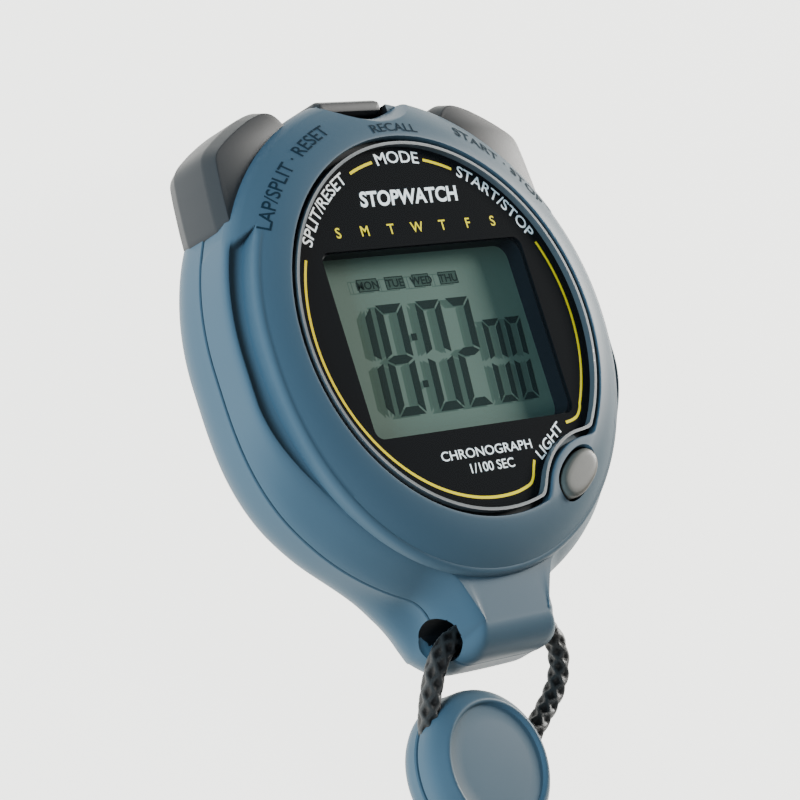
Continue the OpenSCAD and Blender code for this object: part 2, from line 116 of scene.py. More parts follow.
def finish_mesh(mesh, sharp):
    for p in mesh.polygons:
        p.use_smooth = True
    mesh.set_sharp_from_angle(angle=math.radians(sharp))


def out(obj, slot, body=BODY, *replaced):
    if replaced:
        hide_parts(*replaced)
    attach(obj, body)
    return obj


def grid_faces(rows, cols, wrap_rows=False):
    """Quads of rings of points; each ring closes on itself."""
    faces = []
    for i in range(rows if wrap_rows else rows - 1):
        a = i * cols
        b = ((i + 1) % rows) * cols
        for k in range(cols):
            n = (k + 1) % cols
            faces.append((a + k, a + n, b + n, b + k))
    return faces


def cut(obj, cutter, keep=False):
    mod = obj.modifiers.new("cut", "BOOLEAN")
    mod.operation = "DIFFERENCE"
    mod.solver = "EXACT"
    mod.object = cutter
    dg = bpy.context.evaluated_depsgraph_get()
    mesh = bpy.data.meshes.new_from_object(obj.evaluated_get(dg))
    obj.modifiers.remove(mod)
    old = obj.data
    obj.data = mesh
    bpy.data.meshes.remove(old)
    if not keep:
        data = cutter.data
        bpy.data.objects.remove(cutter)
        bpy.data.meshes.remove(data)


def prism(points, z0, z1, name="cutter"):
    n = len(points)
    verts = [(x, y, z0) for x, y in points] + [(x, y, z1) for x, y in points]
    faces = [tuple(range(n - 1, -1, -1)), tuple(range(n, 2 * n))]
    faces += [(k, (k + 1) % n, n + (k + 1) % n, n + k) for k in range(n)]
    return mesh_piece(name, verts, faces)


def rings_solid(name, rings, mat=None, sharp=32):
    """A closed solid of rings of equal length, capped at both ends."""
    n = len(rings[0])
    verts = [p for r in rings for p in r]
    faces = grid_faces(len(rings), n)
    faces.append(tuple(range(n - 1, -1, -1)))
    faces.append(tuple((len(rings) - 1) * n + k for k in range(n)))
    return mesh_piece(name, verts, faces, mat, sharp)


def circle(r, n=96, cx=0.0, cy=0.0):
    return [(cx + r * math.cos(k * math.tau / n), cy + r * math.sin(k * math.tau / n))
            for k in range(n)]


def turned(name, profile, mat=None, n=96, at=(0, 0, 0), axis=(0, 0, 1), sharp=32):
    """A turned solid: profile points (radius, height) along an axis."""
    turn = Vector((0, 0, 1)).rotation_difference(Vector(axis)).to_matrix()
    rings = []
    for r, h in profile:
        rings.append([tuple(Vector(at) + turn @ Vector((x, y, h)))
                      for x, y in circle(max(r, 1e-3), n)])
    return rings_solid(name, rings, mat, sharp)


def ccw(p):
    """The same outline, anticlockwise."""
    area = sum(p[k - 1][0] * p[k][1] - p[k][0] * p[k - 1][1] for k in range(len(p)))
    return p if area > 0 else p[::-1]


def inset(points, d):
    """Moves an anticlockwise outline inwards by d."""
    p = np.array(points, float)
    t = np.roll(p, -1, 0) - np.roll(p, 1, 0)
    t /= np.linalg.norm(t, axis=1)[:, None]
    nrm = np.stack([-t[:, 1], t[:, 0]], 1)
    return p + nrm * d


def round_corners(x0, y0, x1, y1, r, n=8):
    pts = []
    for cx, cy, a in ((x1 - r, y0 + r, -90), (x1 - r, y1 - r, 0), (x0 + r, y1 - r, 90),
                      (x0 + r, y0 + r, 180)):
        pts += [(cx + r * math.cos(math.radians(a + 90 * k / n)),
                 cy + r * math.sin(math.radians(a + 90 * k / n))) for k in range(n + 1)]
    return pts


def resample(points, n, closed=True):
    p = np.array(points, float)
    if closed:
        p = np.vstack([p, p[:1]])
    s = np.concatenate([[0], np.cumsum(np.linalg.norm(np.diff(p, axis=0), axis=1))])
    q = np.linspace(0, s[-1], n + 1)[:-1] if closed else np.linspace(0, s[-1], n)
    return np.stack([np.interp(q, s, p[:, k]) for k in range(p.shape[1])], 1)


def rounded(points, rounds=3, n=160):
    """Corner cutting, then even spacing."""
    p = np.array(points, float)
    for _ in range(rounds):
        q = np.roll(p, -1, 0)
        p = np.stack([p * 0.75 + q * 0.25, p * 0.25 + q * 0.75], 1).reshape(-1, p.shape[1])
    return resample(p, n)


def spline(points, per):
    p = [np.array(v, float) for v in points]
    res = []
    for i in range(len(p) - 1):
        a, b, c, d = p[max(i - 1, 0)], p[i], p[i + 1], p[min(i + 2, len(p) - 1)]
        for k in range(per):
            t = k / per
            res.append(0.5 * (2 * b + (c - a) * t + (2 * a - 5 * b + 4 * c - d) * t * t
                              + (3 * b - a - 3 * c + d) * t ** 3))
    res.append(p[-1])
    return np.array(res)


# ---------------------------------------------------------------- materials
def material(name, color, rough=0.5, metal=0.0, coat=0.0, coat_rough=0.1, grain=600.0,
             bump=0.02, vary=0.04, spec=0.5, rough_vary=0.05):
    """A principled material with fine grain, slight colour and gloss variation."""
    mat = bpy.data.materials.new(name)
    mat.use_nodes = True
    nt = mat.node_tree
    p = nt.nodes["Principled BSDF"]
    p.inputs["Metallic"].default_value = metal
    p.inputs["Coat Weight"].default_value = coat
    p.inputs["Coat Roughness"].default_value = coat_rough
    p.inputs["Specular IOR Level"].default_value = spec
    where = nt.nodes.new("ShaderNodeTexCoord")
    fine = nt.nodes.new("ShaderNodeTexNoise")
    fine.inputs["Scale"].default_value = grain * 10
    fine.inputs["Detail"].default_value = 3
    broad = nt.nodes.new("ShaderNodeTexNoise")
    broad.inputs["Scale"].default_value = 90
    broad.inputs["Detail"].default_value = 4
    nt.links.new(where.outputs["Object"], fine.inputs["Vector"])
    nt.links.new(where.outputs["Object"], broad.inputs["Vector"])
    tone = nt.nodes.new("ShaderNodeMix")
    tone.data_type = "RGBA"
    tone.inputs["A"].default_value = [c * (1 - vary) for c in color[:3]] + [1]
    tone.inputs["B"].default_value = [min(1, c * (1 + vary)) for c in color[:3]] + [1]
    nt.links.new(broad.outputs["Fac"], tone.inputs["Factor"])
    nt.links.new(tone.outputs["Result"], p.inputs["Base Color"])
    gloss = nt.nodes.new("ShaderNodeMapRange")
    gloss.inputs["To Min"].default_value = max(0.02, rough - rough_vary)
    gloss.inputs["To Max"].default_value = min(1, rough + rough_vary)
    nt.links.new(broad.outputs["Fac"], gloss.inputs["Value"])
    nt.links.new(gloss.outputs["Result"], p.inputs["Roughness"])
    if bump:
        b = nt.nodes.new("ShaderNodeBump")
        b.inputs["Strength"].default_value = bump
        b.inputs["Distance"].default_value = 0.0002
        nt.links.new(fine.outputs["Fac"], b.inputs["Height"])
        nt.links.new(b.outputs["Normal"], p.inputs["Normal"])
    return mat


paint = material("case_paint", (0.046, 0.071, 0.090), rough=0.45, grain=900,
                 bump=0.05, vary=0.03, rough_vary=0.04, spec=0.09)
button_paint = material("button_paint", (0.024, 0.0225, 0.0225), rough=0.45, spec=0.14,
                        grain=900, bump=0.04, vary=0.05)
light_cap = material("light_cap_paint", (0.062, 0.058, 0.049), rough=0.45, spec=0.12,
                     coat=0.05, coat_rough=0.2, grain=700, bump=0.05, vary=0.05)
black_print = material("black_print", (0.006, 0.006, 0.0065), rough=0.9, grain=300,
                       bump=0.0, vary=0.2, spec=0.03)
black_plastic = material("black_plastic", (0.011, 0.0115, 0.013), rough=0.45, grain=500,
                         bump=0.05, vary=0.1, spec=0.12)
lens_edge = material("lens_edge", (0.07, 0.073, 0.076), rough=0.3, grain=200, bump=0.01,
                     vary=0.08, coat=0.4)
white_ink = material("white_ink", (0.90, 0.91, 0.90), rough=0.6, grain=400, bump=0.03,
                     vary=0.03, spec=0.2)
yellow_ink = material("yellow_ink", (0.82, 0.61, 0.001), rough=0.6, grain=400, bump=0.03,
                      vary=0.04, spec=0.05)
dim_yellow = material("dim_yellow_ink", (0.80, 0.62, 0.015), rough=0.6, grain=400,
                      bump=0.03, vary=0.04, spec=0.05)
case_ink = material("case_ink", (0.009, 0.018, 0.025), rough=0.8, spec=0.05, grain=400,
                    bump=0.05, vary=0.1)
display = material("display", (0.080, 0.123, 0.097), rough=0.6, grain=250, bump=0.015,
                   vary=0.05, coat=0.3, coat_rough=0.06, spec=0.05)
segment = material("segment", (0.019, 0.029, 0.026), rough=0.8, grain=200, bump=0.0,
                   vary=0.1, spec=0.01)
# painted shadows of the display figures: a darker tone and a softer, lighter one
segment_shade = material("segment_shade", (0.060, 0.091, 0.074), rough=0.8, grain=200,
                         bump=0.0, vary=0.05, spec=0.01)
soft_shade = material("soft_shade", (0.064, 0.098, 0.078), rough=0.8, grain=200, bump=0.0,
                      vary=0.05, spec=0.01)
flag_tone = material("flag_tone", (0.050, 0.076, 0.062), rough=0.8, grain=200, bump=0.0,
                     vary=0.05, spec=0.01)
# flat black painted on faces inside recesses: painted shade that stands in for the dark inside
# them
recess_shade_black = material("recess_shade_black", (0.004, 0.005, 0.006), rough=0.9, grain=200, bump=0.0,
                     vary=0.1)
steel = material("steel", (0.55, 0.56, 0.58), rough=0.3, metal=1.0, grain=500, bump=0.05)
brass = material("brass", (0.70, 0.50, 0.20), rough=0.32, metal=1.0, grain=500, bump=0.05)
rubber = material("rubber", (0.018, 0.018, 0.019), rough=0.75, grain=800, bump=0.15,
                  vary=0.15)
board = material("board", (0.02, 0.11, 0.045), rough=0.4, grain=300, bump=0.05, coat=0.4)
pale = material("pale_plastic", (0.72, 0.72, 0.66), rough=0.45, grain=300, bump=0.03)


def clear_lens():
    """Clear plate: lets light through, with a gloss that grows at grazing angles."""
    mat = bpy.data.materials.new("clear_lens")
    mat.use_nodes = True
    nt = mat.node_tree
    for n in list(nt.nodes):
        if n.type != "OUTPUT_MATERIAL":
            nt.nodes.remove(n)
    outp = nt.nodes["Material Output"]
    clear = nt.nodes.new("ShaderNodeBsdfTransparent")
    clear.inputs["Color"].default_value = (0.93, 0.94, 0.94, 1)
    gloss = nt.nodes.new("ShaderNodeBsdfGlossy")
    gloss.inputs["Roughness"].default_value = 0.03
    gloss.inputs["Color"].default_value = (0.5, 0.53, 0.56, 1)
    facing = nt.nodes.new("ShaderNodeLayerWeight")
    facing.inputs["Blend"].default_value = 0.5
    steep = nt.nodes.new("ShaderNodeMath")
    steep.operation = "POWER"
    steep.inputs[1].default_value = 4.0
    level = nt.nodes.new("ShaderNodeMapRange")
    level.inputs["To Min"].default_value = 0.012
    level.inputs["To Max"].default_value = 0.2
    both = nt.nodes.new("ShaderNodeMixShader")
    nt.links.new(facing.outputs["Facing"], steep.inputs[0])
    nt.links.new(steep.outputs["Value"], level.inputs["Value"])
    nt.links.new(level.outputs["Result"], both.inputs["Fac"])
    nt.links.new(clear.outputs["BSDF"], both.inputs[1])
    nt.links.new(gloss.outputs["BSDF"], both.inputs[2])
    nt.links.new(both.outputs["Shader"], outp.inputs["Surface"])
    return mat


def braid(name):
    """Braided black cord: bump from fine noise, and painted shade from the weave that is darker in
    its hollows.
    """
    mat = bpy.data.materials.new(name)
    mat.use_nodes = True
    nt = mat.node_tree
    p = nt.nodes["Principled BSDF"]
    p.inputs["Roughness"].default_value = 0.55
    p.inputs["Sheen Weight"].default_value = 0.04
    p.inputs["Sheen Roughness"].default_value = 0.4
    tex = nt.nodes.new("ShaderNodeTexCoord")
    noise = nt.nodes.new("ShaderNodeTexNoise")
    noise.inputs["Scale"].default_value = 2600
    noise.inputs["Detail"].default_value = 3
    nt.links.new(tex.outputs["Object"], noise.inputs["Vector"])
    # painted shade: darker where the weave sinks, lighter on the raised strands
    ramp = nt.nodes.new("ShaderNodeMix")
    ramp.data_type = "RGBA"
    ramp.inputs["A"].default_value = (0.0015, 0.0015, 0.0016, 1)
    ramp.inputs["B"].default_value = (0.017, 0.0165, 0.016, 1)
    weave_shade = nt.nodes.new("ShaderNodeAttribute")
    weave_shade.attribute_name = "weave_shade"
    nt.links.new(weave_shade.outputs["Fac"], ramp.inputs["Factor"])
    nt.links.new(ramp.outputs["Result"], p.inputs["Base Color"])
    bump = nt.nodes.new("ShaderNodeBump")
    bump.inputs["Strength"].default_value = 0.35
    bump.inputs["Distance"].default_value = 0.0002
    nt.links.new(noise.outputs["Fac"], bump.inputs["Height"])
    nt.links.new(bump.outputs["Normal"], p.inputs["Normal"])
    return mat


cord_mat = braid("cord_braid")
lens_mat = clear_lens()

# ---------------------------------------------------------------- lanyard
CORD_D = 3.1
CORD_STEP = 0.34         # spacing of the rings along the cord
BRAID_STEP = 1.25        # length of one crossing of the braid
STRANDS = 4              # strands that wind each way
SLIDER = (-6.5, -59.3)
SLIDER_Z = 4.5
COIL_R = 17.5
COIL = (-3.1, -104.0)
LEFT_ROUTE = [
    (-6, -41, 9), (-8.3, -41.3, 9), (-10.3, -42.5, 8.8), (-11.7, -44.1, 8.35),
    (-12.6, -46.3, 7.5), (-13.2, -49, 6.25), (-13.7, -52, 5.15), (-14, -55.5, 4.6),
    (-14, -60, 4.5), (-14, -65, 4.5), (-13.9, -69.5, 4.3), (-14.3, -74, 3.4),
    (-16, -79, 2.3), (-18.9, -84, 1.65), (-21.9, -89.5, 1.6), (-24.4, -96, 1.6),
    (-25.6, -103, 1.6)]
RIGHT_ROUTE = [
    (6, -41, 9), (8.3, -41.3, 9), (10.3, -42.5, 8.75), (11.7, -44.1, 8.25),
    (12.45, -46.3, 7.5), (12.3, -48.7, 6.7), (11.2, -51, 5.9), (9, -53.2, 5.2),
    (6, -55.6, 4.75), (3.4, -57.9, 4.55), (1.6, -60.8, 4.5), (1, -64.5, 4.5),
    (1.2, -69, 4.3), (2.9, -74, 3.4), (6, -78.8, 2.5), (9.8, -82.8, 2.2),
    (13.4, -86.5, 2.6), (16.6, -91.3, 3.5), (18.7, -97, 4.4), (19.4, -103, 4.75)]
TURNS = 6.5
# where the coil lies in its two layers: turns so far, radius, height
TURN_SPOTS = [(0, 22.5, 1.6), (3.2, 12.42, 1.6), (3.35, 12.5, 4.75), (6.5, 22.5, 4.75)]


def coil_points(per=36):
    """Turns of the coil from its left side, round the -Y side, to its right side."""
    pts = []
    u, r, z = zip(*TURN_SPOTS)
    for k in range(1, int(TURNS * per)):
        a = math.pi + k * math.tau / per
        radius, height = np.interp(k / per, u, r), np.interp(k / per, u, z)
        pts.append((COIL[0] + radius * math.cos(a), COIL[1] + radius * math.sin(a), height))
    return np.array(pts)


def tube_mesh(name, path, radius, sides, mat, braided=True):
    """A round tube along a path; a braided one has strands crossing both ways."""
    p = np.array(path, float)
    n = len(p)
    t = np.gradient(p, axis=0)
    t /= np.linalg.norm(t, axis=1)[:, None]
    side = np.cross(t[0], (0, 0, 1.0))
    side /= np.linalg.norm(side)
    s = np.concatenate([[0], np.cumsum(np.linalg.norm(np.diff(p, axis=0), axis=1))])
    verts, weave_shade_values = [], []
    ang = np.arange(sides) * math.tau / sides
    for i in range(n):
        side = side - t[i] * np.dot(side, t[i])
        side /= np.linalg.norm(side)
        other = np.cross(t[i], side)
        r = np.full(sides, radius)
        if braided:
            along = s[i] / BRAID_STEP * math.pi
            one = np.cos(STRANDS * ang + along)
            two = np.cos(STRANDS * ang - along)
            weave = np.maximum(one, two)
            r = radius * (0.86 + 0.14 * weave)
            # the weave also sets painted shade in the cord's colour, darker in the hollows
            weave_shade_values.extend(weave)
        ring = p[i] + np.outer(np.cos(ang) * r, side) + np.outer(np.sin(ang) * r, other)
        verts.extend(ring)
    faces = grid_faces(n, sides)
    faces = [f[::-1] for f in faces]
    faces.append(tuple(range(sides)))
    faces.append(tuple((n - 1) * sides + k for k in reversed(range(sides))))
    piece = mesh_piece(name, verts, faces, mat, 60)
    # store the weave for the painted shade of the braid
    if braided:
        layer = piece.data.attributes.new("weave_shade", "FLOAT", "POINT")
        layer.data.foreach_set("value", [float(k) for k in weave_shade_values])
    return piece


centre = np.vstack([[(-1.7, BORE_Y, AXIS_Z), (-3.8, BORE_Y, AXIS_Z)], spline(LEFT_ROUTE, 6),
                    coil_points(), spline(RIGHT_ROUTE, 6)[::-1],
                    [(3.8, BORE_Y, AXIS_Z), (1.7, BORE_Y, AXIS_Z)]])
centre = resample(centre, 900, closed=False)
for _ in range(6):
    inner = (centre[:-2] + 2 * centre[1:-1] + centre[2:]) / 4
    centre = np.vstack([centre[:1], inner, centre[-1:]])
length_mm = float(np.sum(np.linalg.norm(np.diff(centre, axis=0), axis=1)))
centre = resample(centre, int(length_mm / CORD_STEP), closed=False)
cord = tube_mesh("lanyard_cord", centre, CORD_D / 2, 32, cord_mat)
out(cord, "cord", BODY, "lanyard_left", "lanyard_right", "lanyard_coil")


def slider_half(name, sign, node):
    """One half of the cord slider, with a dished face and room for the two strands."""
    profile = [(0.01, 0.12), (10.6, 0.12), (10.85, 0.2), (11, 0.4), (11, 1.4), (10.9, 2.0),
               (10.65, 2.65), (10.25, 3.25), (9.85, 3.7), (9.5, 4.05), (9.25, 4.3),
               (9.05, 4.45), (8.85, 4.5), (8.65, 4.47), (8.5, 4.35), (8.4, 4.15),
               (8.3, 4.0), (8.1, 3.95), (6, 4.0), (3, 4.04), (0.01, 4.05)]
    piece = turned(name, profile, paint, 160, (*SLIDER, SLIDER_Z), (0, 0, sign))
    for route in (LEFT_ROUTE, RIGHT_ROUTE):
        room = tube_mesh("cutter", spline(route, 4)[4:60], CORD_D / 2 + 0.25, 24, None, False)
        cut(piece, room)
    finish_mesh(piece.data, 32)
    return out(piece, "slider", BODY, node)


front_slider = slider_half("slider_upper", 1, "slider_front")
back_slider = slider_half("slider_lower", -1, "slider_back")


def band_ring(x, w, h, lift):
    """A rounded oblong loop round the bundle of turns."""
    pts = []
    for k in range(96):
        a = k * math.tau / 96
        c, s = math.cos(a), math.sin(a)
        y = w * math.copysign(abs(c) ** 0.45, c)
        z = h * math.copysign(abs(s) ** 0.45, s)
        pts.append((COIL[0] + x, COIL[1] - COIL_R + y, max(lift, 3.2 + z)))
    return pts


def tie_mesh():
    """The band that holds the coil, hollow where the turns pass."""
    rows = [band_ring(x, 6.75 + g, 3.3 + g, 0.0)
            for x, g in ((-3, 0.0), (-2.7, 0.3), (-1.2, 0.38), (1.2, 0.38), (2.7, 0.3), (3, 0.0))]
    rows += [band_ring(3, 6.6, 3.15, 0.04), band_ring(-3, 6.6, 3.15, 0.04)]
    verts = [p for r in rows for p in r]
    faces = [f[::-1] for f in grid_faces(len(rows), 96, True)]
    return mesh_piece("coil_band", verts, faces, rubber)


tie = out(tie_mesh(), "rubber", BODY, "coil_tie")

# ---------------------------------------------------------------- case outline
def body_radius(s):
    """Radius of the round body; s runs from 0 at the middle to 1 towards the lanyard."""
    s = np.maximum(s, 0)
    return 35.6 + 2.5 * smoothstep(0.02, 0.62, s) - 0.4 * smoothstep(0.7, 1.0, s)


def outline_distance(x, y, neck=3.2):
    """Distance to the parting outline: round body, fuller lower half, lanyard boss."""
    r = np.hypot(x, y)
    body = r - body_radius(-y / np.maximum(r, 1.0))
    half = 11.2 + 0.06 * (y + 40)
    qx = np.abs(x) - half + 5.0
    qy = np.abs(y + 36.5) - 9.0 + 5.0
    boss = np.hypot(np.maximum(qx, 0), np.maximum(qy, 0)) + np.minimum(
        np.maximum(qx, qy), 0) - 5.0
    return smooth_min(body, boss, neck)


def edge_radius(angles, *neck):
    """Radius of the outline in each direction, found by halving the range."""
    lo, hi = np.full(angles.shape, 25.0), np.full(angles.shape, 60.0)
    for _ in range(40):
        mid = (lo + hi) / 2
        inside = outline_distance(mid * np.cos(angles), mid * np.sin(angles), *neck) < 0
        lo, hi = np.where(inside, mid, lo), np.where(inside, hi, mid)
    return lo


def trace_outline(count):
    """Evenly spaced points of the parting outline and their outward directions."""
    th = np.linspace(0, math.tau, 4001)[:-1]
    radius = edge_radius(th)
    pts = resample(np.stack([radius * np.cos(th), radius * np.sin(th)], 1), count)
    e = 1e-3
    gx = outline_distance(pts[:, 0] + e, pts[:, 1]) - outline_distance(pts[:, 0] - e, pts[:, 1])
    gy = outline_distance(pts[:, 0], pts[:, 1] + e) - outline_distance(pts[:, 0], pts[:, 1] - e)
    nrm = np.stack([gx, gy], 1)
    nrm /= np.linalg.norm(nrm, axis=1)[:, None]
    return pts, nrm


COUNT = 720
P, NRM = trace_outline(COUNT)
TH = np.arctan2(P[:, 1], P[:, 0])
EX, EY = np.cos(TH), np.sin(TH)
NOTCH = (19.3, -29.7)


REAR_NECK = 13.0
# the outline low on the back, where the neck to the boss is filled in more
LOW_P = edge_radius(TH, REAR_NECK)[:, None] * np.stack([EX, EY], 1)


def dome(r):
    """Height of the domed bezel."""
    d = np.maximum(r - 27.75, 0)
    return FACE - 0.2 * d - 0.048 * d * d


def top_zone(r):
    """Height where the bezel runs out to the full radius."""
    r = np.asarray(r, float)
    edge = 12.6 + np.sqrt(np.maximum(16 - (np.minimum(r, 35.7) - 31.7) ** 2, 0))
    return np.where(r < 34.2, dome(r), edge)


def opening(r0, notch_r, k=1.6):
    """Radius of a round opening with the bite for the light button, per outline ray."""
    b = EX * NOTCH[0] + EY * NOTCH[1]
    c = NOTCH[0] ** 2 + NOTCH[1] ** 2 - notch_r ** 2
    disc = b * b - c
    near = np.where((disc > 0) & (b > 0), b - np.sqrt(np.maximum(disc, 0)), 99.0)
    return smooth_min(np.full(TH.shape, r0), near, k)


SIN = np.sin(TH)
CREASE = 32.75 + 2.4 * np.maximum(0, -SIN) ** 1.5
BOSS_W = smoothstep(32.5, 38.0, -P[:, 1])
DEG = np.degrees(TH) % 360
FROM_TOP = np.abs(DEG - 90)
FROM_TOP = np.minimum(FROM_TOP, 360 - FROM_TOP)


def front_rings():
    """Rings of the front shell, from the parting edge over the top to the hollow."""
    rings = []

    def add(x, y, z):
        rings.append(np.stack([x, y, np.broadcast_to(z, x.shape)], 1))

    def on_side(off, z, t=0.0):
        """A ring at an inward offset from the outline; in the top zone it follows the dome."""
        x, y = P[:, 0] - NRM[:, 0] * off, P[:, 1] - NRM[:, 1] * off
        add(x, y, zone(x, y, z, t))

    def zone(x, y, z, t):
        r = np.hypot(x, y)
        edge = 64.6 - 3.6 * t * t
        w = 1 - smoothstep(edge - 2.6, edge + 1.0, FROM_TOP)
        high = top_zone(r)
        return mix(np.broadcast_to(z, x.shape), np.maximum(high, 9.2), w)

    z_crease = mix(14.45, 14.55, BOSS_W)
    slope_w = smoothstep(0.18, 0.62, -SIN)
    reach = mix(3.9, 4.7, BOSS_W)
    end_w = smoothstep(0.55, 0.97, -NRM[:, 1]) * smoothstep(40.0, 43.5, -P[:, 1])
    crisp = [(0, 9.26), (0, 9.9), (0, 10.8), (0, 11.7), (0, 12.4), (0, 13.0), (0.0, 13.45),
             (0.03, 13.75), (0.08, 14.0), (0.15, 14.2), (0.25, 14.37), (0.38, 14.5),
             (0.5, 14.57), (0.62, 14.6)]
    sloped = [(0, 9.26), (0.04, 9.7), (0.13, 10.4), (0.25, 11.1), (0.38, 11.8), (0.49, 12.35),
              (0.58, 12.8), (0.66, 13.2), (0.73, 13.52), (0.80, 13.8), (0.86, 14.02),
              (0.92, 14.19), (0.97, 14.32), (1.02, 14.4)]
    x, y = P[:, 0] - NRM[:, 0] * 0.16, P[:, 1] - NRM[:, 1] * 0.16
    add(x, y, AXIS_Z + SEAM)
    for (h0, z0), (h1, z1) in zip(crisp, sloped):
        full = math.radians(90 * (z1 - 9.26) / 5.14)
        h = mix(h1 * reach, 4.6 * (1 - math.cos(full)), end_w)
        z = mix(z1, 9.26 + 5.0 * math.sin(full), end_w)
        on_side(mix(h0, h, slope_w), mix(z0, z, slope_w))
    e_h = mix(0.62, mix(1.02 * reach, 4.6, end_w), slope_w)
    z_top = mix(14.6, mix(14.4, 14.26, end_w), slope_w)
    sx, sy = P[:, 0] - NRM[:, 0] * e_h, P[:, 1] - NRM[:, 1] * e_h
    cx, cy = CREASE * EX, CREASE * EY
    for t in np.linspace(0, 1, 15)[1:]:
        x, y = mix(sx, cx, t), mix(sy, cy, t)
        dip = 0.58 * math.sin(math.pi * min(1, t * 1.02)) ** 0.8 * (1 - slope_w)
        add(x, y, zone(x, y, mix(z_top, z_crease, t) - dip, t))
    round_w = 0.95
    r_e = CREASE - round_w
    z_e = dome(r_e)
    slope = 0.2 + 0.096 * (r_e - 27.75)
    z_w = np.maximum(z_e - 1.0 - 0.25 * slope, z_crease + 0.05)
    for f in (0.25, 0.55, 0.85):
        add(CREASE * EX - 0.01 * f * EX, CREASE * EY - 0.01 * f * EY,
            zone(CREASE * EX, CREASE * EY, mix(z_crease, z_w, f), 1.0))
    for a in np.linspace(0, 90, 13):
        a = math.radians(a)
        r = CREASE - 0.012 - (round_w - 0.012) * (1 - math.cos(a))
        z = z_w + (z_e - z_w) * math.sin(a)
        add(r * EX, r * EY, zone(r * EX, r * EY, z, 1.0))
    r_o = opening(27.75, 11.25)
    for t in np.linspace(0, 1, 15)[1:]:
        r = mix(r_e, r_o + 0.22, t)
        add(r * EX, r * EY, dome(r))
    add((r_o + 0.08) * EX, (r_o + 0.08) * EY, FACE - 0.05)
    add(r_o * EX, r_o * EY, FACE - 0.2)
    add(r_o * EX, r_o * EY, 17.45)
    r_i = opening(25.2, 13.4)
    add(r_i * EX, r_i * EY, 17.45)
    add(r_i * EX, r_i * EY, 16.4)
    add(np.minimum(r_i + 2.2, 28.0) * EX, np.minimum(r_i + 2.2, 28.0) * EY, 16.3)
    add(HOLLOW_R * EX, HOLLOW_R * EY, 14.3)
    add(HOLLOW_R * EX, HOLLOW_R * EY, AXIS_Z + SEAM)
    return rings


def rear_rings():
    """Rings of the rear shell, from the parting edge down and across the back."""
    rings = []

    def add(x, y, z):
        rings.append(np.stack([x, y, np.broadcast_to(z, x.shape)], 1))

    add(HOLLOW_R * EX, HOLLOW_R * EY, AXIS_Z - SEAM)
    add(P[:, 0] - NRM[:, 0] * 0.16, P[:, 1] - NRM[:, 1] * 0.16, AXIS_Z - SEAM)
    big = 6.2            # radius of the rounded back edge
    for z, off in [(8.74, 0.0), (8.0, 0.0), (7.1, 0.0)] + [
            (big - big * math.sin(math.radians(a)), big * (1 - math.cos(math.radians(a))))
            for a in np.linspace(0, 90, 15)]:
        w = float(smoothstep(8.8, 3.6, z))
        x, y = mix(P[:, 0], LOW_P[:, 0], w), mix(P[:, 1], LOW_P[:, 1], w)
        off = off * mix(1.0, 0.6, BOSS_W)
        add(x - NRM[:, 0] * off, y - NRM[:, 1] * off, z)
    lx, ly = rings[-1][:, 0], rings[-1][:, 1]
    a = np.arctan2(ly - DOOR_Y, lx)
    dx, dy = np.cos(a), np.sin(a)
    for t in (0.15, 0.4, 0.7):
        add(mix(lx, 14.75 * dx, t), mix(ly, DOOR_Y + 14.75 * dy, t), 0.0)
    # the battery opening: its rounded mouth, the door's seat, then the narrower hole
    for r, z in ((14.7, 0.0), (14.52, 0.15), (14.5, 1.2), (10.4, 1.2), (10.4, 2.0)):
        add(r * dx, DOOR_Y + r * dy, z)
    add(mix(10.4 * dx, HOLLOW_R * EX, 0.5), mix(DOOR_Y + 10.4 * dy, HOLLOW_R * EY, 0.5), 2.0)
    add(HOLLOW_R * EX, HOLLOW_R * EY, 2.0)
    return rings


def shell(name, rings):
    return mesh_piece(name, np.vstack(rings), grid_faces(len(rings), COUNT, True), paint)


def line_hit(a, b, r):
    """Where the line from a to b meets the circle of radius r, nearest b."""
    a, b = np.array(a, float), np.array(b, float)
    d = b - a
    qa, qb, qc = d @ d, 2 * a @ d, a @ a - r * r
    t = (-qb + math.sqrt(qb * qb - 4 * qa * qc)) / (2 * qa)
    return a + d * t


def arc(r, a0, a1, n):
    return [(r * math.cos(a), r * math.sin(a)) for a in np.linspace(a0, a1, n)]


POCKET_R = 32.6


def pocket_outline():
    """The recess behind the left cap, running out past the case."""
    low = line_hit((-29.2, 14.7), (-33.8, 22), POCKET_R)
    high = line_hit((-11.9, 31.2), (-13.2, 33.2), POCKET_R)
    a0, a1 = math.atan2(low[1], low[0]), math.atan2(high[1], high[0])
    return [(-13.2, 33.2), (-13.2, 40), (-33.8, 40), (-33.8, 22)] + arc(POCKET_R, a0, a1, 40)


def cylinder_between(a, b, r, n=48):
    a, b = Vector(a), Vector(b)
    axis = (b - a).normalized()
    return turned("cutter", [(r, 0), (r, (b - a).length)], None, n, a, axis)


LIGHT = (15.4, -23.6)    # centre of the light button
LIGHT_TURN = math.radians(33)


def oval(a, b, n=64, power=2.25):
    """The light button's plan: a full oval, turned with the rim of the dial."""
    pts = []
    for k in range(n):
        t = k * math.tau / n
        c, s = math.cos(t), math.sin(t)
        u = a * math.copysign(abs(c) ** (2 / power), c)
        v = b * math.copysign(abs(s) ** (2 / power), s)
        pts.append((LIGHT[0] + u * math.cos(LIGHT_TURN) - v * math.sin(LIGHT_TURN),
                    LIGHT[1] + u * math.sin(LIGHT_TURN) + v * math.cos(LIGHT_TURN)))
    return pts


PUSH = math.radians(122.5)   # direction of the left stem


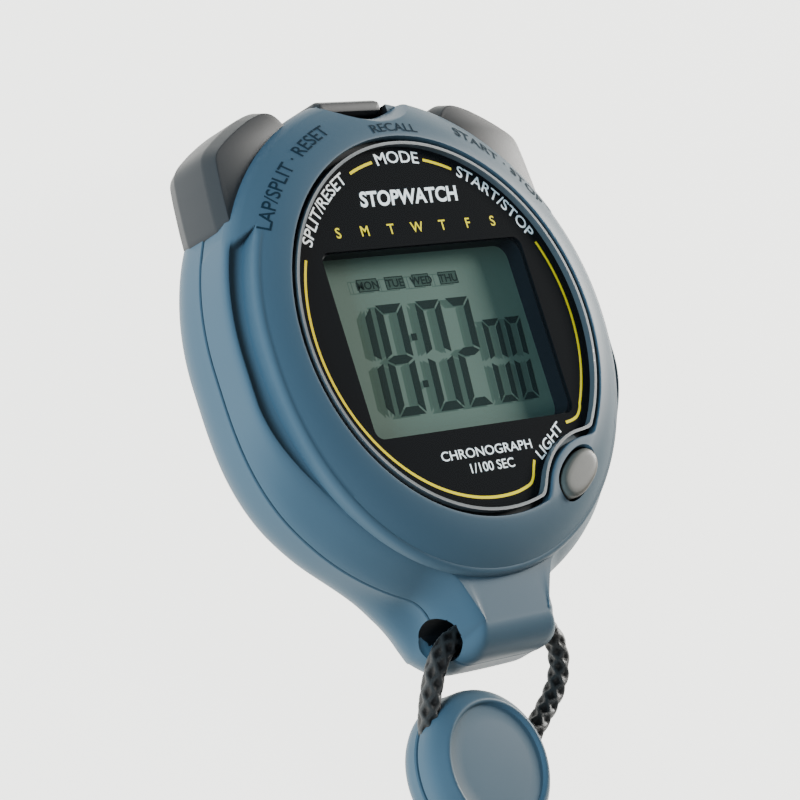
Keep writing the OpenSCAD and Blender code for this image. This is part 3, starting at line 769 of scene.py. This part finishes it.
def make_room(obj):
    """Recesses round the buttons and the lanyard bore, in either shell."""
    left_pocket = pocket_outline()
    for s in (1, -1):
        pts = [(x * s, y) for x, y in left_pocket]
        if s < 0:
            pts = pts[::-1]
        cut(obj, prism(pts[::-1], 3.4, 14.5))
        u = (math.cos(PUSH) * s, math.sin(PUSH))
        cut(obj, cylinder_between((u[0] * 28, u[1] * 28, AXIS_Z), (u[0] * 35, u[1] * 35, AXIS_Z),
                                  STEM_BORE_R))
    cut(obj, prism([(-6.6, 31.7), (6.6, 31.7), (6.6, 39), (-6.6, 39)], 4.7, 12.8))
    cut(obj, cylinder_between((0, 28, AXIS_Z), (0, 35, AXIS_Z), STEM_BORE_R))
    cut(obj, cylinder_between((-17, BORE_Y, AXIS_Z), (17, BORE_Y, AXIS_Z), 2.75, 64))
    for s in (1, -1):
        flare = [(2.6, 0), (2.76, 0.9), (2.86, 1.5), (3.02, 2.0), (3.2, 2.4), (3.2, 9)]
        cut(obj, turned("cutter", flare, None, 64, (s * 8.6, BORE_Y - 0.4, AXIS_Z),
                        (s, -0.2, 0)))


def darken(obj, inside):
    """Paints shade: gives the faces that lie in a recess a flat black that stands in for their
    unlit inside.
    """
    obj.data.materials.append(recess_shade_black)
    dark = len(obj.data.materials) - 1
    for p in obj.data.polygons:
        x, y, z = (c / MM for c in p.center)
        top = max(obj.data.vertices[v].co.z for v in p.vertices) / MM
        if inside(x, y, z, math.hypot(x, y), top):
            p.material_index = dark


def in_recess(x, y, z, r, top):
    """Whether a face lies in the lanyard bore, a button's pocket or the well of the lens, where
    shade is painted.
    """
    bore = math.hypot(y - BORE_Y, z - AXIS_Z) < 2.82 and abs(x) < 10.4
    pocket = abs(r - POCKET_R) < 0.12 and 3.3 < z < 14.6 and y > 8
    mode = abs(x) < 6.7 and 31.6 < y < 34.5 and 3.3 < z and top < 12.9
    well = 25.0 < r < 28.2 and 16.1 < z < 17.75
    return bore or pocket or mode or well


front = shell("front_shell", front_rings())
make_room(front)
# the thumb dip over the mode button: a steep cone that rolls out into the dome
dip_rings = []
for z, r in ((12.8, 18.7), (14.2, 19.05), (15.6, 19.5), (16.6, 19.95), (17.2, 20.25),
             (17.7, 20.52), (18.05, 20.8), (18.3, 21.1), (18.6, 21.6), (19.3, 22.9)):
    dip_rings.append([(x, y, z) for x, y in circle(r, 200, 0, 51.2)])
cut(front, rings_solid("cutter", dip_rings))
hole = [[(x, y, z) for x, y in oval(5.03 + g, 2.8 + g)]
        for z, g in ((14.0, 0), (18.2, 0), (18.6, 0.03), (18.9, 0.12), (19.3, 0.4))]
cut(front, rings_solid("cutter", hole))
finish_mesh(front.data, 30)
# paint shade into the lanyard bore, the button pockets and the lens well
darken(front, in_recess)
out(front, "case", BODY, "front_case")

rear = shell("rear_shell", rear_rings())
make_room(rear)
screw_well = [(2.3, -1), (2.1, 0.15), (2.0, 0.35), (2.0, 2.01)]
for px, py in ((27.3, 9.9), (-27.3, 9.9), (21.6, -19.7), (-21.6, -19.7)):
    cut(rear, turned("cutter", screw_well, None, 48, (px, py, 0)))
finish_mesh(rear.data, 30)
# paint shade into the recesses of the rear shell
darken(rear, in_recess)
out(rear, "case", BODY, "rear_case")

# ---------------------------------------------------------------- buttons
CAP_INNER_R = 33.95
CAP_Z = (3.7, 14.3)
STEM_R = 1.22
STEM_START = 29.45       # the stems stay clear of the contact leaves when pushed


def left_cap_outline():
    """Plan of the left cap, anticlockwise: its outer edge, then the arc against the case."""
    pts = [(-30.9, 18), (-30.75, 21), (-30.4, 25), (-30.05, 27.6), (-29.5, 28.9),
           (-28.3, 29.9), (-26.2, 31.3), (-23.9, 32.6), (-21.6, 33.7), (-19.3, 34.5),
           (-17.6, 34.7), (-16.4, 34.4), (-15.2, 33.5), (-14.3, 32.2), (-13.8, 31.3)]
    a0, a1 = math.atan2(31.4, -14.2), math.atan2(17.2, -30.4)
    return pts[::-1] + arc(CAP_INNER_R, a1, a0, 40)


def button(name, outline, z0, z1, chamfer, low, node, body):
    """Cap with chamfered front and back edges and slightly softened corners."""
    mid = (z0 + z1) / 2
    rings = []
    half = (z1 - z0) / 2
    edge = half - low
    steps = [(half, chamfer + 0.28), (half - 0.06, chamfer + 0.08),
             (half - 0.3, chamfer - 0.06), (edge + 0.35, 0.16), (edge + 0.08, 0.03),
             (edge - 0.2, 0.0), (0.0, 0.0)]
    heights = [(-h, d) for h, d in steps[:-1]] + [(h, d) for h, d in reversed(steps)]
    for h, d in heights:
        rings.append([(x, y, mid + h) for x, y in inset(outline, d)])
    piece = rings_solid(name, rings, button_paint, 28)
    return out(piece, "button", body, node)


cap_pts = rounded(resample(ccw(left_cap_outline()), 56), 3, 220)
button("split_reset_cap", cap_pts, *CAP_Z, 0.8, 2.2, "split_reset_button", "split_reset")
mirrored = [(-x, y) for x, y in cap_pts][::-1]
button("start_stop_cap", mirrored, *CAP_Z, 0.8, 2.2, "start_stop_button", "start_stop")
mode_pts = resample(round_corners(-6.3, 33.7, 6.3, 36.1, 0.95), 160)
button("mode_cap", mode_pts, 5.0, 12.5, 0.45, 1.0, "mode_button", "mode")

for body, a, reach in (("split_reset", PUSH, 35.0), ("start_stop", math.pi - PUSH, 35.0),
                       ("mode", math.pi / 2, 34.3)):
    u = (math.cos(a), math.sin(a))
    stem = cylinder_between((u[0] * STEM_START, u[1] * STEM_START, AXIS_Z),
                            (u[0] * reach, u[1] * reach, AXIS_Z), STEM_R, 32)
    stem.name = body + "_stem"
    stem.data.materials.append(steel)
    out(stem, "button", body)

cap_rings = []
for z, g in ((15.2, -0.3), (18.6, -0.3), (18.95, -0.33), (19.2, -0.45), (19.36, -0.68),
             (19.44, -1.0), (19.47, -1.6), (19.48, -2.2)):
    cap_rings.append([(x, y, z) for x, y in oval(4.95 + g, 2.7 + g)])
light = rings_solid("light_cap", cap_rings, light_cap, 35)
out(light, "button", "light", "light_button")

# ---------------------------------------------------------------- lens and dial
def plan_ring(r0, notch_r, z, off=0.0):
    """A round ring with the bite for the light button."""
    r = opening(r0, notch_r) - off
    return [(r[i] * EX[i], r[i] * EY[i], z) for i in range(COUNT)]


lens_rings = [plan_ring(27.0, 12.0, z, off) for z, off in
              ((17.8, 0.05), (18.6, 0.0), (18.86, 0.0), (18.96, 0.1), (FACE, 0.24))]
lens = rings_solid("clear_front", lens_rings, lens_mat, 8)
out(lens, "lens", BODY, "lens")


def band(name, inner, outer, z0, z1, mat):
    """A band between two plan rings, with square edges."""
    rows = [[(x, y, z0) for x, y, _ in inner], [(x, y, z1) for x, y, _ in inner],
            [(x, y, z1) for x, y, _ in outer], [(x, y, z0) for x, y, _ in outer]]
    verts = [p for r in rows for p in r]
    faces = [f[::-1] for f in grid_faces(4, len(inner), True)]
    return mesh_piece(name, verts, faces, mat)


rim = band("lens_rim", plan_ring(26.55, 12.45, 0), plan_ring(26.98, 12.02, 0), 17.9, 18.98,
           lens_edge)
out(rim, "lens", BODY)


def plate(name, outline, hole_pts, z0, z1, mat):
    """A flat plate with one opening."""
    piece = prism(outline, z0, z1, name)
    cut(piece, prism(hole_pts, z0 - 1, z1 + 1))
    finish_mesh(piece.data, 30)
    piece.data.materials.clear()
    piece.data.materials.append(mat)
    return piece


WIN = (-19.35, -14.65, 19.35, 11.95)     # the display window: left, bottom, right, top
MASK_TOP = 18.0
SEG_Z = 14.7             # top of the display glass

window = round_corners(*WIN, 1.5)
window_well = round_corners(WIN[0] + 0.1, WIN[1] + 0.1, WIN[2] - 0.1, WIN[3] - 0.1, 2.2)
mask = plate("dial_face", [(x, y) for x, y, _ in plan_ring(26.5, 12.5, 0)], window, 17.46,
             MASK_TOP, black_print)
out(mask, "black_print", BODY, "dial_mask")

frame_out = [(-21, -16.4), (21, -16.4), (21, 13.8), (-21, 13.8)]
walls = plate("display_surround", frame_out, window_well, 14.71, 17.4, black_plastic)
out(walls, "black_plastic", BODY, "lcd_frame")
glass = prism([(-20, -15.2), (20, -15.2), (20, 12.6), (-20, 12.6)], 13.0, SEG_Z,
              "display_panel")
glass.data.materials.append(display)
out(glass, "display", BODY, "lcd_glass")

# ---------------------------------------------------------------- display figures
SEGMENTS = {"0": "abcdef", "1": "bc", "2": "abged", "8": "abcdefg"}


def flat(name, polys, z0, z1, mat):
    """Many thin flat shapes as one piece."""
    verts, faces = [], []
    for p in polys:
        b, n = len(verts), len(p)
        verts += [(x, y, z0) for x, y in p] + [(x, y, z1) for x, y in p]
        faces.append(tuple(b + k for k in range(n - 1, -1, -1)))
        faces.append(tuple(b + n + k for k in range(n)))
        faces += [(b + k, b + (k + 1) % n, b + n + (k + 1) % n, b + n + k) for k in range(n)]
    return mesh_piece(name, verts, faces, mat)


def digit(ch, x0, y0, w, h, s, slant, gap=0.18):
    """Seven-segment figure: bottom left corner, size, stroke and slant."""
    m = h / 2
    shapes = {
        "a": [(0, h), (w, h), (w - s, h - s), (s, h - s)],
        "d": [(0, 0), (s, s), (w - s, s), (w, 0)],
        "f": [(0, h), (s, h - s), (s, m + s / 2), (0, m)],
        "e": [(0, 0), (0, m), (s, m - s / 2), (s, s)],
        "b": [(w, h), (w, m), (w - s, m + s / 2), (w - s, h - s)],
        "c": [(w, 0), (w - s, s), (w - s, m - s / 2), (w, m)],
        "g": [(0, m), (s, m + s / 2), (w - s, m + s / 2), (w, m), (w - s, m - s / 2),
              (s, m - s / 2)],
    }
    res = []
    for seg in SEGMENTS[ch]:
        c = np.mean(shapes[seg], axis=0)
        p = c + (np.array(ccw(shapes[seg])) - c) * (1 - gap / s * 0.62)
        res.append([(x0 + x + slant * y / h, y0 + y) for x, y in p])
    return res


def box(x0, y0, x1, y1, slant=0.0):
    return [(x0, y0), (x1, y0), (x1 + slant, y1), (x0 + slant, y1)]


BASE = -11.2             # foot of the figures
BIG, SMALL = 16.1, 12.4  # heights of the figures
figures = []
for ch, x, w, h, s, slant in (("1", -16.3, 4.7, BIG, 1.35, 1.5), ("8", -10.8, 5.2, BIG, 1.35, 1.5),
                              ("0", -3.1, 4.9, BIG, 1.35, 1.5), ("2", 2.8, 4.7, BIG, 1.35, 1.5),
                              ("0", 9.0, 3.6, SMALL, 1.1, 1.1),
                              ("0", 13.5, 3.4, SMALL, 1.1, 1.1)):
    figures += digit(ch, x, BASE, w, h, s, slant)
figures += [box(-4.75, -7.5, -3.75, -6.5, 0.1), box(-4.2, -0.7, -3.2, 0.3, 0.1)]
flags = ((-11.2, -7.4, "MON"), (-5.9, -2.4, "TUE"), (-0.6, 2.6, "WED"), (4.5, 8.1, "THU"))
FLAG_Y = (6.9, 8.75)
LINE = 0.12              # thickness of the flags' outlines
flag_boxes = [box(x0, FLAG_Y[0], x1, FLAG_Y[1]) for x0, x1, _ in flags]
for x0, x1, _ in flags:
    y0, y1 = FLAG_Y
    figures += [box(x0, y0, x1, y0 + LINE), box(x0, y1 - LINE, x1, y1),
                box(x0, y0 + LINE, x0 + LINE, y1 - LINE), box(x1 - LINE, y0 + LINE, x1, y1 - LINE)]
out(flat("display_figures", [ccw(p) for p in figures], SEG_Z + 0.012, SEG_Z + 0.03, segment),
    "display", BODY)
out(flat("display_flags", flag_boxes, SEG_Z + 0.008, SEG_Z + 0.016, flag_tone), "display", BODY)
# painted shadows of the figures: darker and softer copies shifted left and down, as cast by light
# from the right
for name, shift, lift, mat in (("display_shade", 1.15, 0.004, segment_shade),
                               ("display_soft_shade", 1.75, 0.0015, soft_shade)):
    shade = [[(x - shift, y - 0.2) for x, y in p] for p in figures]
    out(flat(name, [ccw(p) for p in shade], SEG_Z + 0.0005, SEG_Z + lift, mat), "display", BODY)


# ---------------------------------------------------------------- lettering
def word(text, height, bold=0.0, width=1.0, shear=0.0, spacing=1.0):
    """Outline lettering as a flat mesh, cap height in millimetres, centred."""
    curve = bpy.data.curves.new("word", "FONT")
    curve.body = text
    curve.align_x = "CENTER"
    curve.size = 1.0
    curve.offset = bold
    curve.shear = shear
    curve.space_character = spacing
    curve.resolution_u = 4
    obj = new_object("word", curve)
    dg = bpy.context.evaluated_depsgraph_get()
    mesh = bpy.data.meshes.new_from_object(obj.evaluated_get(dg))
    pts = np.array([v.co[:] for v in mesh.vertices])
    faces = [tuple(p.vertices) for p in mesh.polygons]
    bpy.data.objects.remove(obj)
    bpy.data.curves.remove(curve)
    bpy.data.meshes.remove(mesh)
    scale = height / CAP_SHARE
    pts[:, 0] *= scale * width
    pts[:, 1] = pts[:, 1] * scale - height / 2
    return pts, faces


def letters(name, items, mat, slot):
    """Words laid flat: (text, cap height, place function, options)."""
    verts, faces = [], []
    for text, height, where, options in items:
        pts, polys = word(text, height, **options)
        b = len(verts)
        verts += [where(x, y) for x, y, _ in pts]
        faces += [tuple(b + i for i in p) for p in polys]
    mesh = bpy.data.meshes.new(name)
    mesh.from_pydata([tuple(float(c) * MM for c in v) for v in verts], [], faces)
    mesh.validate()
    mesh.update()
    mesh.materials.append(mat)
    return out(new_object(name, mesh), slot, BODY)


PRINT_Z = MASK_TOP + 0.012
CAP_SHARE = 0.71         # cap height of the built-in font at size 1


def on_arc(r, mid, z=None):
    """Places a word on an arc; z gives the height at a radius."""
    def where(x, y):
        rad = r + y
        a = math.radians(mid) - x / r
        h = PRINT_Z if z is None else z(rad)
        return (rad * math.cos(a), rad * math.sin(a), h)
    return where


def flat_at(cx, cy, turn=0.0, z=None):
    """Places a word flat, turned by an angle in degrees."""
    q = math.radians(turn)

    def where(x, y):
        return (cx + x * math.cos(q) - y * math.sin(q), cy + x * math.sin(q) + y * math.cos(q),
                PRINT_Z if z is None else z)
    return where


letters("white_labels", [
    ("MODE", 1.75, on_arc(25.05, 89.7), dict(bold=0.010, width=1.22)),
    ("SPLIT/RESET", 1.75, on_arc(25.05, 132.0), dict(bold=0.010, width=1.1)),
    ("START/STOP", 1.75, on_arc(25.05, 46.2), dict(bold=0.010, width=1.12)),
    ("LIGHT", 1.6, flat_at(12.4, -18.2, 33), dict(bold=0.010, width=1.16)),
    ("STOPWATCH", 2.15, flat_at(0.2, 19.15), dict(bold=0.03, width=1.02, shear=0.15)),
    ("CHRONOGRAPH", 1.35, flat_at(0, -18.2), dict(bold=0.008, width=1.22)),
    ("1/100 SEC", 1.35, flat_at(0, -20.4), dict(bold=0.008, width=1.12)),
], white_ink, "lens")

letters("display_flag_letters", [
    (text, 1.15, flat_at((x0 + x1) / 2, 7.82, 0, SEG_Z + 0.035), dict(bold=0.02, width=1.12))
    for x0, x1, text in flags], segment, "display")

days = [(d, 1.5, flat_at(-15 + 5 * k, 14.6), dict(bold=0.010, width=1.05))
        for k, d in enumerate("SMTWTFS")]
letters("day_letters", days, dim_yellow, "lens")


def ribbon(points, width):
    """The two edges of a flat line."""
    p = np.array(points, float)
    t = np.gradient(p, axis=0)
    t /= np.linalg.norm(t, axis=1)[:, None]
    n = np.stack([-t[:, 1], t[:, 0]], 1) * width / 2
    return p + n, p - n


def line_arc(a0, a1, r=24.85):
    n = max(8, int(abs(a1 - a0)))
    return [(r * math.cos(math.radians(a)), r * math.sin(math.radians(a)))
            for a in np.linspace(a0, a1, n)]


runs = [line_arc(112.4, 101.0), line_arc(78.2, 66.0)]
low_right = line_arc(26.0, -33.0)
low_right += [(20.55, -14.2), (19.6, -15.25), (18.4, -15.75), (16.9, -16.0)]
bottom = [(8.4, -20.6), (7.85, -21.6), (7.2, -22.9), (6.4, -23.75), (5.2, -24.2)]
bottom += line_arc(-81.6, -206.6)
runs += [spline(low_right, 3), spline(bottom, 3)]
verts, faces = [], []
for run in runs:
    one, two = ribbon(run, 0.42)
    b = len(verts)
    verts += [(x, y, PRINT_Z) for x, y in one] + [(x, y, PRINT_Z) for x, y in two]
    n = len(one)
    faces += [(b + n + k, b + n + k + 1, b + k + 1, b + k) for k in range(n - 1)]
line_mesh = mesh_piece("yellow_line", verts, faces, yellow_ink)
out(line_mesh, "lens", BODY)

on_dome = dict(z=lambda r: float(dome(r)) + 0.075)
letters("case_labels", [
    ("LAP/SPLIT · RESET", 1.75, on_arc(31.85, 130.0, **on_dome), dict(bold=0.008, width=1.16)),
    ("RECALL", 1.4, on_arc(29.3, 88.6, **on_dome), dict(bold=0.008, width=1.3)),
    ("START · STOP", 1.75, on_arc(31.75, 48.5, **on_dome), dict(bold=0.02, width=1.2)),
], case_ink, "case")

# ---------------------------------------------------------------- back and hidden parts
NODE_MATERIALS = {
    "case_gasket": rubber, "light_guide": pale, "lamp": pale, "zebra_strips": rubber,
    "circuit_board": board, "processor_chip": black_plastic, "quartz_crystal": steel,
    "chip_resistors": black_plastic, "buzzer": brass, "contact_leaves": brass,
    "coin_battery": steel, "battery_contact": brass, "battery_door": paint,
    "door_seal": rubber, "door_screws": steel, "case_screws": steel,
    "start_stop_clip": steel, "split_reset_clip": steel, "mode_clip": steel,
    "light_clip": steel, "stem_seals": rubber, "start_stop_spring": steel,
    "split_reset_spring": steel, "mode_spring": steel, "light_spring": steel}
for obj in bpy.context.scene.objects:
    for node, mat in NODE_MATERIALS.items():
        if obj.type == "MESH" and obj.name.split(".")[0] == node:
            for slot in obj.material_slots:
                slot.link = "OBJECT"
                slot.material = mat

# ---------------------------------------------------------------- floor and light
floor_mat = bpy.data.materials.new("pale_floor")
floor_mat.use_nodes = True
shader = floor_mat.node_tree.nodes["Principled BSDF"]
shader.inputs["Base Color"].default_value = (0.12, 0.122, 0.118, 1)
shader.inputs["Roughness"].default_value = 0.9
shader.inputs["Specular IOR Level"].default_value = 0.1
shader.inputs["Emission Color"].default_value = (1.0, 1.0, 0.955, 1)
shader.inputs["Emission Strength"].default_value = 3.2
HALF, FLOOR_Z = 1500, -0.05
floor = mesh_piece("floor", [(-HALF, -HALF, FLOOR_Z), (HALF, -HALF, FLOOR_Z),
                             (HALF, HALF, FLOOR_Z), (-HALF, HALF, FLOOR_Z)],
                   [(0, 1, 2, 3)], floor_mat)

world = bpy.data.worlds.new("studio")
world.use_nodes = True
world.node_tree.nodes["Background"].inputs["Color"].default_value = (0.80, 0.86, 0.90, 1)
world.node_tree.nodes["Background"].inputs["Strength"].default_value = 0.22
bpy.context.scene.world = world


def area(name, size, size_y, power, color, spot, aim=(0, -0.01, 0.01)):
    """A soft rectangular light aimed at the watch; sizes and places in metres."""
    data = bpy.data.lights.new(name, "AREA")
    data.shape = "RECTANGLE"
    data.size = size
    data.size_y = size_y
    data.energy = power
    data.color = color
    obj = bpy.data.objects.new(name, data)
    bpy.context.scene.collection.objects.link(obj)
    obj.location = spot
    way = Vector(aim) - Vector(spot)
    obj.rotation_euler = way.to_track_quat("-Z", "Y").to_euler()
    return obj


area("key", 0.34, 0.34, 42, (1.0, 0.99, 0.95), (1.02, 0.24, 0.40))
left_fill = area("left_fill", 0.7, 0.4, 26, (0.45, 0.76, 1.0), (-0.95, 0.1, 0.3))
left_fill.visible_glossy = False     # so that the lens shows the dial from the right
area("front_fill", 0.5, 0.5, 4, (1.0, 1.0, 0.98), (-0.38, -0.75, 1.05))
